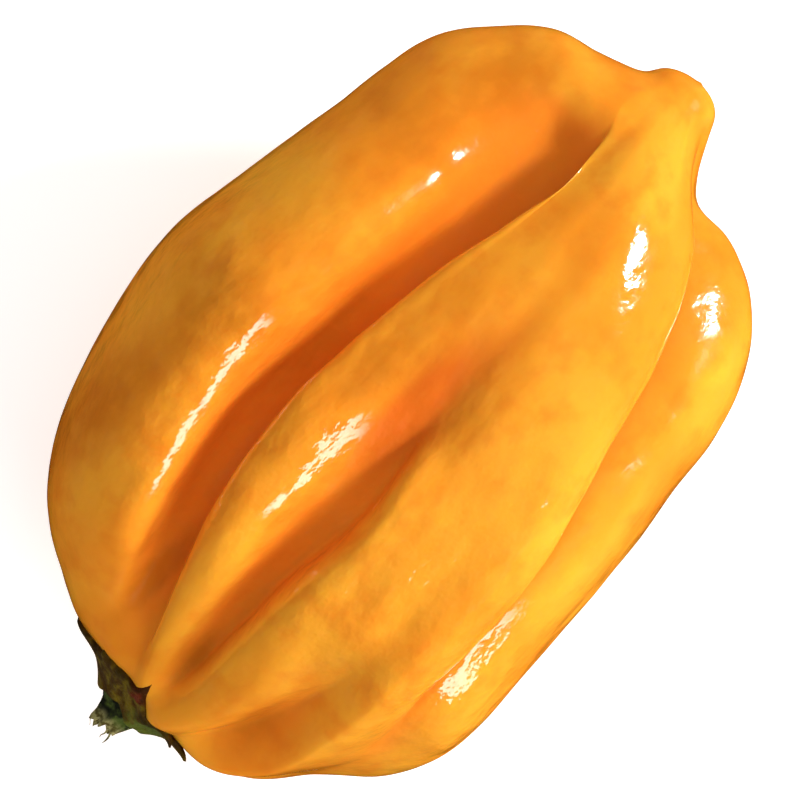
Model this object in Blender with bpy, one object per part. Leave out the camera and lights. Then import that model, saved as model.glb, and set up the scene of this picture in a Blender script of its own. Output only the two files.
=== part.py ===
"""A fresh orange habanero chilli, lying on its side as picked.

Three pieces: the lobed pod, the green calyx that caps its stem end, and the short torn stem.
The pod lies along X, its stem end towards -X and its tip towards +X. Z is up, and the pod rests at Z = 0.
"""

import math

import bmesh
import bpy
import numpy as np
from mathutils import Vector
from mathutils.bvhtree import BVHTree

MM = 0.001  # metres in a millimetre; every size below is in millimetres

# Where the object's origin lies, measured from the pod's stem end and axis: under the middle, on the ground.
ORIGIN = (25.7, 0.7, -14.25)

# The pod's centre line, as (along, across, up), from the stem end to the tip.
CENTRE_LINE = (
    (1.5, 0.2, 0.0), (10.0, 0.3, 0.0), (38.0, 0.3, 0.3), (48.0, 0.6, 2.6), (51.5, 0.85, 4.0),
    (53.65, 0.6, 4.5),
)

# The blunt nub at the tip: rings round the centre line, as (along, radius).
NUB_RINGS = ((51.7, 2.85), (52.7, 2.25), (53.35, 1.3))

# The lines that run along the pod, in the order in which they go round it: a furrow and a crest take turns.
# Each point is (along, across, up). Every line starts at the stem end and runs out over the nub.
LINES = {
    "deep_furrow": (
        (1.9, 1.2, 4.9), (4.0, 1.8, 6.2), (8.0, 2.4, 7.0), (14.0, 3.4, 8.0), (20.0, 4.1, 8.5),
        (26.0, 4.0, 8.6), (33.0, 3.5, 8.6), (40.0, 2.2, 8.2), (43.5, 1.8, 8.2), (46.0, 2.4, 9.0),
        (48.0, 3.1, 8.9), (49.8, 3.4, 7.8),
    ),
    "narrow_crest": (
        (1.6, 0.1, 5.2), (4.0, 1.0, 7.2), (8.0, 2.0, 9.8), (12.0, 2.6, 12.2), (15.0, 3.0, 13.1),
        (18.0, 3.4, 13.45), (22.0, 3.8, 13.7), (26.0, 3.9, 13.15), (30.0, 3.7, 12.8), (34.0, 3.4, 12.7),
        (40.0, 2.6, 11.9), (45.5, 2.1, 10.2), (49.5, 1.8, 8.3),
    ),
    "middle_furrow": (
        (1.5, -0.5, 5.0), (4.0, -1.3, 5.7), (8.0, -1.6, 7.2), (14.0, -1.6, 9.2), (20.0, -1.7, 10.7),
        (24.0, -2.1, 11.4), (28.0, -2.3, 12.2), (30.0, -2.2, 12.8), (32.0, -1.9, 13.3), (34.0, -1.5, 13.5),
        (37.0, -0.8, 13.5), (40.0, -0.1, 13.1), (45.5, 0.2, 11.6), (49.5, 0.8, 8.7),
    ),
    "main_crest": (
        (0.5, -2.2, 4.8), (3.0, -4.2, 7.0), (8.0, -5.0, 10.6), (14.0, -5.2, 13.2), (20.0, -5.2, 14.4),
        (26.0, -5.4, 14.7), (33.0, -4.8, 14.8), (37.0, -4.2, 14.5), (40.0, -3.5, 14.0), (43.0, -2.8, 13.1),
        (45.5, -2.0, 12.0), (49.5, -0.4, 8.7),
    ),
    "shoulder_furrow": (
        (0.9, -3.8, 3.7), (3.0, -5.4, 4.0), (6.0, -6.9, 5.2), (10.0, -8.2, 8.7), (14.0, -8.8, 12.4),
        (20.0, -8.4, 14.0), (26.0, -8.4, 14.4), (33.0, -7.4, 14.4), (37.0, -6.8, 13.9), (40.0, -6.0, 13.3),
        (43.0, -5.0, 12.3), (45.5, -3.9, 11.2), (49.5, -1.3, 8.3),
    ),
    "side_crest": (
        (0.6, -6.0, 2.2), (3.0, -9.4, 4.2), (8.0, -10.9, 8.2), (14.0, -11.7, 11.9), (20.0, -11.8, 13.4),
        (26.0, -11.3, 13.7), (33.0, -9.7, 13.4), (37.0, -8.8, 12.8), (40.0, -7.9, 12.1), (43.0, -6.8, 11.1),
        (45.5, -5.5, 10.0), (49.5, -2.1, 7.3),
    ),
    "side_furrow": (
        (1.0, -5.6, -0.6), (4.0, -10.3, 0.6), (8.0, -12.8, 4.2), (14.0, -12.9, 7.6), (20.0, -12.9, 8.3),
        (26.0, -12.1, 8.3), (33.0, -10.1, 8.4), (40.0, -8.3, 7.4), (45.5, -5.6, 6.0), (49.6, -2.5, 5.4),
    ),
    "outer_crest": (
        (0.9, -6.2, -2.0), (1.9, -8.9, -2.6), (5.0, -11.8, -3.0), (8.0, -15.1, -1.4), (12.0, -16.9, 0.6),
        (20.0, -16.9, 2.0), (30.0, -16.4, 2.4), (34.0, -15.8, 2.6), (38.0, -15.4, 2.8), (43.0, -13.7, 3.0),
        (46.2, -10.9, 3.2), (47.7, -7.5, 3.6), (47.9, -4.4, 3.8), (49.0, -3.4, 3.9),
    ),
    "lower_furrow": (
        (1.6, -3.8, -4.1), (6.0, -8.6, -6.6), (14.0, -11.3, -8.8), (22.0, -11.6, -9.2), (32.0, -10.8, -8.6),
        (41.0, -8.2, -6.8), (46.5, -4.6, -3.0), (49.2, -2.2, 1.0),
    ),
    "belly_crest": (
        (1.8, -2.2, -5.2), (5.0, -4.4, -9.0), (10.0, -6.2, -12.4), (15.0, -6.8, -13.6), (24.0, -7.0, -13.1),
        (33.5, -6.5, -13.65), (40.0, -5.4, -11.8), (45.5, -3.6, -7.8), (49.6, -1.4, -1.2),
    ),
    "belly_furrow": (
        (1.9, 0.3, -5.2), (6.0, 0.3, -8.4), (12.0, 0.5, -10.8), (26.0, 0.6, -11.4), (36.0, 0.6, -10.8),
        (43.0, 0.5, -8.0), (49.2, 0.5, -1.2),
    ),
    "back_crest": (
        (1.8, 3.0, -4.8), (5.0, 5.5, -8.6), (10.0, 7.8, -11.6), (17.0, 8.7, -13.0), (25.0, 9.0, -13.45),
        (34.0, 8.4, -12.5), (42.0, 6.8, -10.0), (47.5, 4.4, -5.2), (50.3, 2.8, -0.2),
    ),
    "back_furrow": (
        (1.9, 5.2, -2.2), (5.0, 9.0, -4.6), (10.0, 12.2, -6.4), (20.0, 14.7, -7.4), (30.0, 14.2, -7.2),
        (40.0, 12.8, -6.0), (46.5, 10.2, -3.6), (50.3, 5.8, 0.4),
    ),
    "broad_crest": (
        (1.9, 5.1, 2.0), (3.2, 7.9, 2.8), (6.0, 12.2, 4.0), (10.0, 14.9, 4.9), (17.0, 17.0, 6.2),
        (24.0, 17.6, 7.8), (30.0, 16.7, 6.8), (37.0, 15.9, 5.2), (44.0, 14.9, 4.2), (47.5, 12.5, 3.8),
        (50.0, 9.5, 3.8), (50.7, 6.5, 3.8),
    ),
}

# The shape of the lobes on the two sides of each furrow: the one before it and the one after it, going
# round. Each point is (share of the turn, share of the climb) on the way from the furrow up to the crest. A
# turn below zero is a lobe that leans over its furrow. The shapes differ between the two ends of the pod.
ROUND_SIDE = ((0.0, 0.0), (0.08, 0.3), (0.25, 0.6), (0.5, 0.87), (0.75, 0.97), (1.0, 1.0))
STEM_END_SIDES = {
    "deep_furrow": (
        (
            (0.0, 0.0), (0.17, 0.05), (0.33, 0.2), (0.3, 0.4), (0.265, 0.57), (0.275, 0.7), (0.335, 0.8),
            (0.44, 0.88), (0.66, 0.97), (0.88, 1.0), (1.0, 1.0),
        ),
        ((0.0, 0.0), (-0.1, 0.45), (0.02, 0.86), (0.3, 0.97), (1.0, 1.0)),
    ),
    "middle_furrow": (
        ((0.0, 0.0), (0.31, 0.02), (0.49, 0.18), (0.63, 0.51), (0.75, 0.78), (0.88, 0.93), (1.0, 1.0)),
        ((0.0, 0.0), (-0.03, 0.4), (0.05, 0.78), (0.15, 0.9), (0.4, 0.97), (1.0, 1.0)),
    ),
    "shoulder_furrow": (
        ((0.0, 0.0), (0.3, 0.3), (0.6, 0.7), (0.8, 0.92), (1.0, 1.0)),
        ((0.0, 0.0), (0.4, 0.35), (0.7, 0.75), (1.0, 1.0)),
    ),
    "side_furrow": (
        ((0.0, 0.0), (0.17, 0.3), (0.38, 0.62), (0.62, 0.87), (0.8, 0.99), (1.0, 1.0)),
        (
            (0.0, 0.0), (-0.01, 0.17), (0.055, 0.39), (0.145, 0.66), (0.26, 0.88), (0.45, 0.99), (0.72, 1.01),
            (1.0, 1.0),
        ),
    ),
    "lower_furrow": (ROUND_SIDE, ROUND_SIDE),
    "belly_furrow": (ROUND_SIDE, ROUND_SIDE),
    "back_furrow": (ROUND_SIDE, ROUND_SIDE),
}
TIP_END_SIDES = {
    **STEM_END_SIDES,
    "deep_furrow": (
        (
            (0.0, 0.0), (0.24, 0.0), (0.4, 0.07), (0.44, 0.17), (0.48, 0.28), (0.56, 0.43), (0.66, 0.6),
            (0.78, 0.78), (0.9, 0.93), (1.0, 1.0),
        ),
        ((0.0, 0.0), (-0.1, 0.45), (0.02, 0.86), (0.3, 0.97), (1.0, 1.0)),
    ),
    "middle_furrow": (
        ((0.0, 0.0), (0.33, 0.06), (0.5, 0.4), (0.6, 0.84), (0.75, 0.96), (1.0, 1.0)),
        ((0.0, 0.0), (0.12, 0.3), (0.35, 0.7), (0.65, 0.93), (1.0, 1.0)),
    ),
    "side_furrow": (
        ((0.0, 0.0), (0.14, 0.3), (0.33, 0.62), (0.58, 0.86), (1.0, 1.0)),
        ((0.0, 0.0), (0.06, 0.22), (0.21, 0.4), (0.38, 0.57), (0.56, 0.73), (0.77, 0.9), (1.0, 1.0)),
    ),
}

# Where along the pod the one set of shapes turns into the other, and where it does so at the middle furrow.
CHANGE = (31.0, 43.5)
MIDDLE_CHANGE = (20.0, 29.0)

FULL_DEPTH = 1.3  # a furrow shallower than this softens into a dent

POD_RINGS = 56
POD_STEPS = 4  # columns of faces between one line and the next

GAP = 0.3  # between pieces that touch

# The calyx, a thin cap wrapped over the pod's stem end. Its edge has small teeth, as (degrees, reach) past
# the edge: degrees are from straight up, towards +Y.
CALYX_RADIUS = 4.9
CALYX_TEETH = (
    (-132, 0.7), (-98, 0.6), (-66, 1.2), (-40, 0.7), (2, 0.6), (40, 0.4), (74, 1.1), (122, 0.8), (172, 0.9),
)
TOOTH_WIDTH = 13  # degrees from a tooth's tip to where its side fades out
CALYX_RIM = 0.55  # thickness at the edge
CALYX_MIDDLE = 1.3  # thickness round the stem
CALYX_SHOULDER = 3.0  # radius at which the middle has thinned half way to the rim
COLLAR_RADIUS = 2.05  # the ring-shaped swelling round the stem
COLLAR_WIDTH = 0.4
COLLAR_HEIGHT = 0.35
CALYX_COLUMNS = 48
CALYX_RINGS = 7

# The stem's stub, from its base in the calyx to its torn end, as (along, across, up, radius).
STEM_RINGS = (
    (-0.45, 0.1, 0.0, 1.5), (-0.8, 0.1, 0.0, 1.4), (-1.2, 0.15, 0.0, 1.15), (-1.6, 0.25, 0.0, 1.0),
    (-1.9, 0.3, 0.0, 0.9),
)
STEM_RIDGES = 5  # the stem is a little five-sided
STEM_RIDGE_HEIGHT = 0.08
STEM_TEAR = 0.35  # how far the torn edge runs in and out
STEM_COLUMNS = 20


def spline(points, count):
    """A smooth curve through the points, as count points evenly spaced along it."""
    knots = np.array(points, float)
    chords = np.linalg.norm(np.diff(knots, axis=0), axis=1)
    at = np.concatenate([[0.0], np.cumsum(np.sqrt(chords))])
    slopes = np.gradient(knots, at, axis=0)
    fine = np.linspace(0.0, at[-1], 40 * len(knots))
    before = np.clip(np.searchsorted(at, fine, side="right") - 1, 0, len(knots) - 2)
    span = (at[before + 1] - at[before])[:, None]
    t = (fine - at[before])[:, None] / span
    curve = (
        (2 * t**3 - 3 * t**2 + 1) * knots[before]
        + (t**3 - 2 * t**2 + t) * span * slopes[before]
        + (3 * t**2 - 2 * t**3) * knots[before + 1]
        + (t**3 - t**2) * span * slopes[before + 1]
    )
    length = np.concatenate([[0.0], np.cumsum(np.linalg.norm(np.diff(curve, axis=0), axis=1))])
    even = np.linspace(0.0, length[-1], count)
    return np.stack([np.interp(even, length, values) for values in curve.T], axis=1)


def centre_at(along):
    """Where the pod's centre line is, as (across, up), at each distance along it."""
    line = np.array(CENTRE_LINE)
    return np.interp(along, line[:, 0], line[:, 1]), np.interp(along, line[:, 0], line[:, 2])


def whole_line(points):
    """A line of the pod from pole to pole: the stem end, its own points, then over the nub to the tip."""
    across, up = centre_at(points[-1][0])
    turn = math.atan2(points[-1][1] - across, points[-1][2] - up)
    over_nub = []
    for along, radius in NUB_RINGS:
        across, up = centre_at(along)
        over_nub.append((along, across + radius * math.sin(turn), up + radius * math.cos(turn)))
    return [CENTRE_LINE[0], *points, *over_nub, CENTRE_LINE[-1]]


def polar_line(points):
    """A line as distance along, radius from the centre line and angle from straight up, ring by ring."""
    curve = spline(whole_line(points), POD_RINGS)
    across, up = centre_at(curve[:, 0])
    side, height = curve[:, 1] - across, curve[:, 2] - up
    angle = np.arctan2(side, height)
    angle[0], angle[-1] = angle[1], angle[-2]
    return curve[:, 0], np.hypot(side, height), angle


def turned(angle):
    """An angle brought between half a turn back and half a turn on."""
    return (angle + math.pi) % (2 * math.pi) - math.pi


def all_lines():
    """Every line as (along, radius, angle, slope of the radius round the pod, depth below the lower of its
    two neighbours), in the order round the pod."""
    along, radius, angle = (np.stack(part) for part in zip(*[polar_line(line) for line in LINES.values()]))
    onward = turned(np.roll(angle, -1, axis=0) - angle)
    after, before = np.roll(radius, -1, axis=0), np.roll(radius, 1, axis=0)
    ahead = (after - radius) / onward
    behind = np.roll(ahead, 1, axis=0)
    slope = np.where(ahead * behind > 0, np.sign(ahead) * np.minimum(abs(ahead), abs(behind)), 0.0)
    depth = np.maximum(np.minimum(after, before) - radius, 0.0)
    return list(zip(along, radius, angle, slope, depth))


def flank(here, there, shapes, rising):
    """Columns of points from one line of the pod to the next, as arrays of rings by columns. here and there
    are the two lines, each as all_lines gives it. shapes are the lobe's at the stem end and at the tip end,
    with where the one turns into the other. rising says that the furrow comes first."""
    furrow, crest = (here, there) if rising else (there, here)
    along_f, radius_f, angle_f, slope_f, depth_f = (values[:, None] for values in furrow)
    along_c, radius_c, angle_c, slope_c, _ = (values[:, None] for values in crest)
    stem_shape, tip_shape, (change_from, change_to) = shapes
    near_tip = np.clip((along_f - change_from) / (change_to - change_from), 0.0, 1.0)[:, :, None]
    stem_end, tip_end = (spline(shape, POD_STEPS + 1)[None] for shape in (stem_shape, tip_shape))
    shares = stem_end + (tip_end - stem_end) * near_tip**2 * (3 - 2 * near_tip)
    reach = np.arange(POD_STEPS + 1)[None] / POD_STEPS
    if not rising:
        shares, reach = shares[:, ::-1], reach[:, ::-1]
    turn_share, climb, reach = shares[:, :-1, 0], shares[:, :-1, 1], reach[:, :-1]
    turn = turned(angle_c - angle_f)
    climb_height = radius_c - radius_f
    dent = reach**2 * (3 - 2 * reach)
    bulge = turn * reach * (1 - reach) * (slope_f * (1 - reach) - slope_c * reach)
    even = radius_f + climb_height * dent + bulge
    depth_share = 1 - np.exp(-((depth_f / FULL_DEPTH) ** 2))
    radius = depth_share * (radius_f + climb_height * climb) + (1 - depth_share) * even
    angle = angle_f + turn * (depth_share * turn_share + (1 - depth_share) * reach)
    along = along_f + (along_c - along_f) * dent
    across, up = centre_at(along)
    return np.stack([along, across + radius * np.sin(angle), up + radius * np.cos(angle)], axis=2)


def pod_points():
    """The pod's skin as rings by columns of points, flattened a little where it touches the ground."""
    lines = all_lines()
    shapes = []
    for name in STEM_END_SIDES:
        change = MIDDLE_CHANGE if name == "middle_furrow" else CHANGE
        shapes += [(stem, tip, change) for stem, tip in zip(STEM_END_SIDES[name], TIP_END_SIDES[name])]
    columns = []
    for index, here in enumerate(lines):
        there = lines[(index + 1) % len(lines)]
        columns.append(flank(here, there, shapes[(index + 1) % len(shapes)], index % 2 == 0))
    points = np.concatenate(columns, axis=1)
    points[:, :, 2] = np.maximum(points[:, :, 2], ORIGIN[2])
    return points


def calyx_reach(degrees):
    """How far the calyx's edge lies from the middle of the cap, at an angle round it."""
    reach = CALYX_RADIUS
    for tip, length in CALYX_TEETH:
        away = (degrees - tip + 180) % 360 - 180
        reach += length * max(0.0, 1 - abs(away) / TOOTH_WIDTH)
    return reach


def calyx_thickness(radius):
    """How thick the calyx is at a distance from its middle."""
    middle = (CALYX_MIDDLE - CALYX_RIM) / (1 + (radius / CALYX_SHOULDER) ** 6)
    collar = COLLAR_HEIGHT * math.exp(-(((radius - COLLAR_RADIUS) / COLLAR_WIDTH) ** 2))
    return CALYX_RIM + middle + collar


def calyx_points(pod):
    """The calyx as rings of points: its middle outside, out to the edge, and back along the pod's skin."""
    skin = BVHTree.FromObject(pod, bpy.context.evaluated_depsgraph_get())
    across, up = CENTRE_LINE[0][1:]
    outside, inside = [], []
    for ring in range(CALYX_RINGS + 1):
        share = ring / CALYX_RINGS
        outer_ring, inner_ring = [], []
        for column in range(CALYX_COLUMNS):
            degrees = 360 * column / CALYX_COLUMNS
            radius = share * calyx_reach(degrees)
            side = across + radius * math.sin(math.radians(degrees))
            height = up + radius * math.cos(math.radians(degrees))
            hit = skin.ray_cast(placed((-20.0, side, height)), Vector((1.0, 0.0, 0.0)))[0]
            under = hit.x / MM + ORIGIN[0] - GAP
            inner_ring.append((under, side, height))
            outer_ring.append((under - calyx_thickness(radius), side, height))
        outside.append(outer_ring)
        inside.append(inner_ring)
    return outside + inside[::-1]


def stem_points():
    """The stem's stub as rings of points, from its base to its torn end."""
    rings = []
    for index, (along, across, up, radius) in enumerate(STEM_RINGS):
        tear = STEM_TEAR * index / (len(STEM_RINGS) - 1)
        ring = []
        for column in range(STEM_COLUMNS):
            turn = 2 * math.pi * column / STEM_COLUMNS
            reach = radius + STEM_RIDGE_HEIGHT * math.cos(STEM_RIDGES * turn)
            torn = along - tear * math.sin(3 * turn) * math.cos(2 * turn + 1)
            ring.append((torn, across + reach * math.sin(turn), up + reach * math.cos(turn)))
        rings.append(ring)
    base, end = STEM_RINGS[0][:3], STEM_RINGS[-1][:3]
    return [[base], *rings, [end]]


def placed(point):
    """A point in millimetres from the stem end, as a place in metres from the object's origin."""
    return (Vector(point) - Vector(ORIGIN)) * MM


def material(name, colour, roughness):
    """A plain plant surface."""
    finish = bpy.data.materials.new(name)
    finish.use_nodes = True
    shader = finish.node_tree.nodes["Principled BSDF"]
    shader.inputs["Base Color"].default_value = (*colour, 1.0)
    shader.inputs["Roughness"].default_value = roughness
    return finish


def closed_body(name, rings, finish):
    """A body from rings of points between a first ring and a last one that are each a single point."""
    mesh = bmesh.new()
    first = mesh.verts.new(placed(rings[0][0]))
    last = mesh.verts.new(placed(rings[-1][0]))
    loops = [[mesh.verts.new(placed(point)) for point in ring] for ring in rings[1:-1]]
    count = len(loops[0])
    for column in range(count):
        beside = (column + 1) % count
        mesh.faces.new((first, loops[0][beside], loops[0][column]))
        mesh.faces.new((last, loops[-1][column], loops[-1][beside]))
        for near, far in zip(loops, loops[1:]):
            mesh.faces.new((near[column], near[beside], far[beside], far[column]))
    bmesh.ops.triangulate(mesh, faces=mesh.faces[:])
    bmesh.ops.recalc_face_normals(mesh, faces=mesh.faces[:])
    data = bpy.data.meshes.new(name)
    mesh.to_mesh(data)
    mesh.free()
    data.shade_smooth()
    data.materials.append(finish)
    body = bpy.data.objects.new(name, data)
    bpy.context.scene.collection.objects.link(body)
    return body


def main():
    for old in list(bpy.data.objects):
        bpy.data.objects.remove(old, do_unlink=True)
    pod = closed_body("pod", pod_points(), material("pod_skin", (0.85, 0.33, 0.03), 0.3))
    closed_body("calyx", calyx_points(pod), material("calyx_green", (0.07, 0.06, 0.01), 0.6))
    closed_body("stem", stem_points(), material("stem_green", (0.05, 0.05, 0.01), 0.7))


main()
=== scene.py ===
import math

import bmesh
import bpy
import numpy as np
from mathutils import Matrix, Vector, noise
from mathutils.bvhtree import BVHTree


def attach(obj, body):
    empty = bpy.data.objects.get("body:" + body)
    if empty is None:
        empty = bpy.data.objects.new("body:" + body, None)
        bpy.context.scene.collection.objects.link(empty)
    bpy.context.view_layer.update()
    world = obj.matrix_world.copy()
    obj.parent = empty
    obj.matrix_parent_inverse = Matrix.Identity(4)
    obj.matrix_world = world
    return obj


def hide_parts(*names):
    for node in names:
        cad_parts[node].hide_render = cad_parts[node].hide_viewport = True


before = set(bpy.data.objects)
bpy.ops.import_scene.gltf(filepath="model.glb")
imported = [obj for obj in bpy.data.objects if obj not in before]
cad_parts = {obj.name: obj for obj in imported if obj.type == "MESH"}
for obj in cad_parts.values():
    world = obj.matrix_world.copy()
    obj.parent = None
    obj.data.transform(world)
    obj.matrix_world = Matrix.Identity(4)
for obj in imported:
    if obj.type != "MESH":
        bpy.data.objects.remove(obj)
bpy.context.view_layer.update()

# The looks of a fresh orange habanero chilli, lying on its side on a plain pale floor.
#
# The pod is built from lines as the CAD one is, and drawn much finer, with a waxy skin. Its middle furrow
# and two of its crests run a little differently. The calyx lies where the CAD's does and reaches as far, but
# has a thinner rim and sharper teeth. The stem is much as in the CAD, with torn threads at its end. All
# sizes are in millimetres unless they say otherwise.

MM = 0.001  # metres in a millimetre

# ------------------------------------------------------------------------------------- the pod's shape

# Where the object's origin lies, measured from the pod's stem end and axis, as in the CAD.
ORIGIN = (25.7, 0.7, -14.25)

# The pod's centre line, as (along, across, up), from the stem end to the tip.
CENTRE_LINE = (
    (1.5, 0.2, 0.0), (10.0, 0.3, 0.0), (38.0, 0.3, 0.3), (48.0, 0.6, 2.6), (51.5, 0.85, 4.0),
    (53.65, 0.6, 4.5),
)

# The blunt nub at the tip: rings round the centre line, as (along, radius).
NUB_RINGS = ((51.7, 2.85), (52.7, 2.25), (53.35, 1.3))

# The lines that run along the pod, in the order in which they go round it: a furrow and a crest take turns.
# Each point is (along, across, up). Every line starts at the stem end and runs out over the nub.
LINES = {
    "deep_furrow": (
        (1.9, 1.2, 4.9), (4.0, 1.8, 6.2), (8.0, 2.4, 7.0), (14.0, 3.4, 8.0), (20.0, 4.1, 8.5),
        (26.0, 4.0, 8.6), (33.0, 3.5, 8.6), (40.0, 2.2, 8.2), (43.5, 1.8, 8.2), (46.0, 2.4, 9.0),
        (48.0, 3.1, 8.9), (49.8, 3.4, 7.8),
    ),
    "narrow_crest": (
        (1.6, 0.1, 5.2), (4.0, 1.0, 7.2), (8.0, 2.0, 9.8), (12.0, 2.6, 12.2), (15.0, 3.0, 13.1),
        (18.0, 3.4, 13.45), (22.0, 3.8, 13.7), (26.0, 3.9, 13.15), (30.0, 3.7, 12.8), (34.0, 3.4, 12.7),
        (40.0, 2.6, 11.9), (45.5, 2.1, 10.2), (49.5, 1.8, 8.3),
    ),
    "middle_furrow": (
        (1.5, -0.5, 5.0), (4.0, -1.3, 5.7), (8.0, -1.6, 7.2), (14.0, -1.8, 9.4), (19.0, -2.4, 10.9),
        (23.0, -2.1, 12.1), (26.0, -1.5, 12.9), (29.0, -1.2, 13.5), (32.0, -1.1, 13.9), (35.0, -1.1, 14.0),
        (37.5, -0.7, 13.75), (40.0, -0.1, 13.2), (45.5, 0.2, 11.6), (49.5, 0.8, 8.7),
    ),
    "main_crest": (
        (0.5, -2.2, 4.8), (3.0, -4.2, 7.0), (8.0, -5.0, 10.6), (14.0, -5.2, 13.2), (20.0, -5.2, 14.4),
        (24.0, -4.9, 14.5), (28.0, -4.9, 14.6), (33.0, -4.8, 14.7), (37.0, -4.2, 14.4), (40.0, -3.5, 14.0),
        (43.0, -2.8, 13.1), (45.5, -2.0, 12.0), (49.5, -0.4, 8.7),
    ),
    "shoulder_furrow": (
        (0.9, -3.8, 3.7), (3.0, -5.4, 4.0), (6.0, -6.9, 5.2), (10.0, -8.2, 8.7), (14.0, -8.8, 12.4),
        (20.0, -8.4, 14.0), (26.0, -8.4, 14.4), (33.0, -7.4, 14.4), (37.0, -6.8, 13.9), (40.0, -6.0, 13.3),
        (43.0, -5.0, 12.3), (45.5, -3.9, 11.2), (49.5, -1.3, 8.3),
    ),
    "side_crest": (
        (0.6, -6.0, 2.2), (3.0, -9.4, 4.2), (8.0, -10.9, 8.2), (14.0, -11.7, 11.9), (20.0, -11.8, 13.4),
        (26.0, -11.3, 13.7), (33.0, -9.7, 13.4), (37.0, -8.8, 12.8), (40.0, -7.9, 12.1), (43.0, -6.8, 11.1),
        (45.5, -5.5, 10.0), (49.5, -2.1, 7.3),
    ),
    "side_furrow": (
        (1.0, -5.6, -0.6), (4.0, -10.3, 0.6), (8.0, -12.8, 4.2), (14.0, -12.9, 7.6), (20.0, -12.9, 8.3),
        (26.0, -12.1, 8.3), (33.0, -10.1, 8.4), (40.0, -8.3, 7.4), (45.5, -5.6, 6.0), (49.6, -2.5, 5.4),
    ),
    "outer_crest": (
        (0.9, -6.2, -2.0), (1.9, -8.9, -2.6), (5.0, -11.8, -3.0), (8.0, -15.1, -1.4), (12.0, -16.9, 0.6),
        (20.0, -16.9, 2.0), (30.0, -16.4, 2.4), (34.0, -15.8, 2.6), (38.0, -15.4, 2.8), (43.0, -13.7, 3.0),
        (46.2, -10.9, 3.2), (47.7, -7.5, 3.6), (47.9, -4.4, 3.8), (49.0, -3.4, 3.9),
    ),
    "lower_furrow": (
        (1.6, -3.8, -4.1), (6.0, -8.6, -6.6), (14.0, -11.3, -8.8), (22.0, -11.6, -9.2), (32.0, -10.8, -8.6),
        (41.0, -8.2, -6.8), (46.5, -4.6, -3.0), (49.2, -2.2, 1.0),
    ),
    "belly_crest": (
        (1.8, -2.2, -5.2), (5.0, -4.4, -9.0), (10.0, -6.2, -12.4), (15.0, -6.8, -13.6), (24.0, -7.0, -13.1),
        (33.5, -6.5, -13.65), (40.0, -5.4, -11.8), (45.5, -3.6, -7.8), (49.6, -1.4, -1.2),
    ),
    "belly_furrow": (
        (1.9, 0.3, -5.2), (6.0, 0.3, -8.4), (12.0, 0.5, -10.8), (26.0, 0.6, -11.4), (36.0, 0.6, -10.8),
        (43.0, 0.5, -8.0), (49.2, 0.5, -1.2),
    ),
    "back_crest": (
        (1.8, 3.0, -4.8), (5.0, 5.5, -8.6), (10.0, 7.8, -11.6), (17.0, 8.7, -13.0), (25.0, 9.0, -13.45),
        (34.0, 8.4, -12.5), (42.0, 6.8, -10.0), (47.5, 4.4, -5.2), (50.3, 2.8, -0.2),
    ),
    "back_furrow": (
        (1.9, 5.2, -2.2), (5.0, 9.0, -4.6), (10.0, 12.2, -6.4), (20.0, 14.7, -7.4), (30.0, 14.2, -7.2),
        (40.0, 12.8, -6.0), (46.5, 10.2, -3.6), (50.3, 5.8, 0.4),
    ),
    "broad_crest": (
        (1.9, 5.1, 2.0), (3.2, 7.9, 2.8), (6.0, 12.2, 4.0), (10.0, 14.9, 4.9), (17.0, 17.0, 6.2),
        (24.0, 17.8, 7.8), (30.0, 17.1, 6.8), (37.0, 16.05, 5.2), (44.0, 14.9, 4.2), (47.5, 12.5, 3.8),
        (50.0, 9.5, 3.8), (50.7, 6.5, 3.8),
    ),
}

# The shape of the lobes on the two sides of each furrow: the one before it and the one after it, going
# round. Each point is (share of the turn, share of the climb) on the way from the furrow up to the crest. A
# turn below zero is a lobe that leans over its furrow. The shapes differ between the two ends of the pod.
ROUND_SIDE = ((0.0, 0.0), (0.08, 0.3), (0.25, 0.6), (0.5, 0.87), (0.75, 0.97), (1.0, 1.0))
STEM_END_SIDES = {
    "deep_furrow": (
        (
            (0.0, 0.0), (0.17, 0.05), (0.33, 0.2), (0.3, 0.4), (0.265, 0.57), (0.275, 0.7), (0.335, 0.8),
            (0.44, 0.88), (0.66, 0.97), (0.88, 1.0), (1.0, 1.0),
        ),
        ((0.0, 0.0), (-0.1, 0.45), (0.02, 0.86), (0.3, 0.97), (1.0, 1.0)),
    ),
    "middle_furrow": (
        ((0.0, 0.0), (0.31, 0.02), (0.49, 0.18), (0.63, 0.51), (0.75, 0.78), (0.88, 0.93), (1.0, 1.0)),
        ((0.0, 0.0), (-0.03, 0.4), (0.05, 0.78), (0.15, 0.9), (0.4, 0.97), (1.0, 1.0)),
    ),
    "shoulder_furrow": (
        ((0.0, 0.0), (0.3, 0.3), (0.6, 0.7), (0.8, 0.92), (1.0, 1.0)),
        ((0.0, 0.0), (0.4, 0.35), (0.7, 0.75), (1.0, 1.0)),
    ),
    "side_furrow": (
        ((0.0, 0.0), (0.17, 0.3), (0.38, 0.62), (0.62, 0.87), (0.8, 0.99), (1.0, 1.0)),
        (
            (0.0, 0.0), (-0.01, 0.17), (0.055, 0.39), (0.145, 0.66), (0.26, 0.88), (0.45, 0.99), (0.72, 1.01),
            (1.0, 1.0),
        ),
    ),
    "lower_furrow": (ROUND_SIDE, ROUND_SIDE),
    "belly_furrow": (ROUND_SIDE, ROUND_SIDE),
    "back_furrow": (ROUND_SIDE, ROUND_SIDE),
}
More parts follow.
